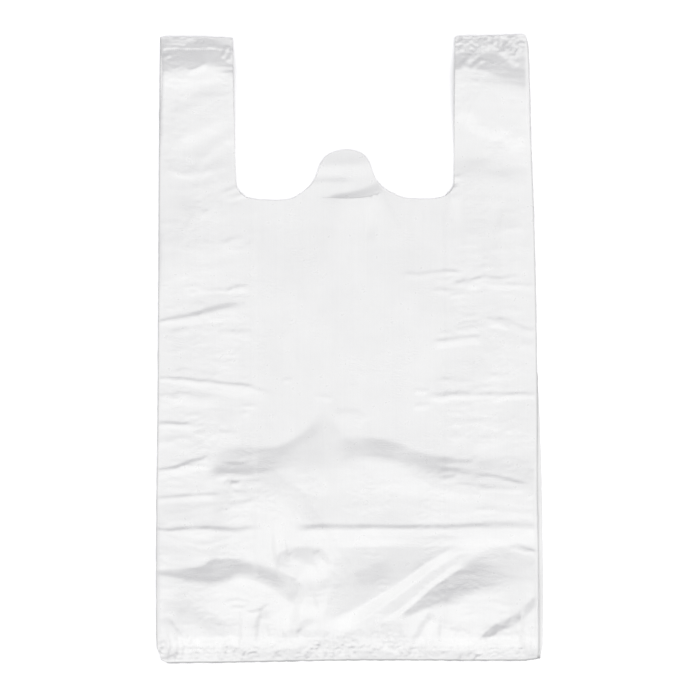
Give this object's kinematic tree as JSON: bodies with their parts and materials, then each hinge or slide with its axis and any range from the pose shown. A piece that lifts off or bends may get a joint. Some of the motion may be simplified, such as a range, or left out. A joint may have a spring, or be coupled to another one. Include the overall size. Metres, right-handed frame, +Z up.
{
  "type": "plastic carrier bag",
  "caption": "Empty vest carrier bag of white translucent film lying flat, with gusseted sides, welded foot and handle tops, and a slit tear-off tongue in the mouth.",
  "frame": {"origin": "on the surface that the bag lies on, under the middle of its bounding box", "axes": "+Y along the bag from its welded foot towards its handle tops, +Z up out of the front panel, +X across the bag"},
  "size_m": [0.3088, 0.5, 0.0028],
  "materials": {
    "film": "milky translucent polyethylene film with a soft sheen, a fine cross-hatched grain and crinkles"
  },
  "bodies": {
    "root": {"carrier_bag_film": "film"}
  },
  "joints": []
}
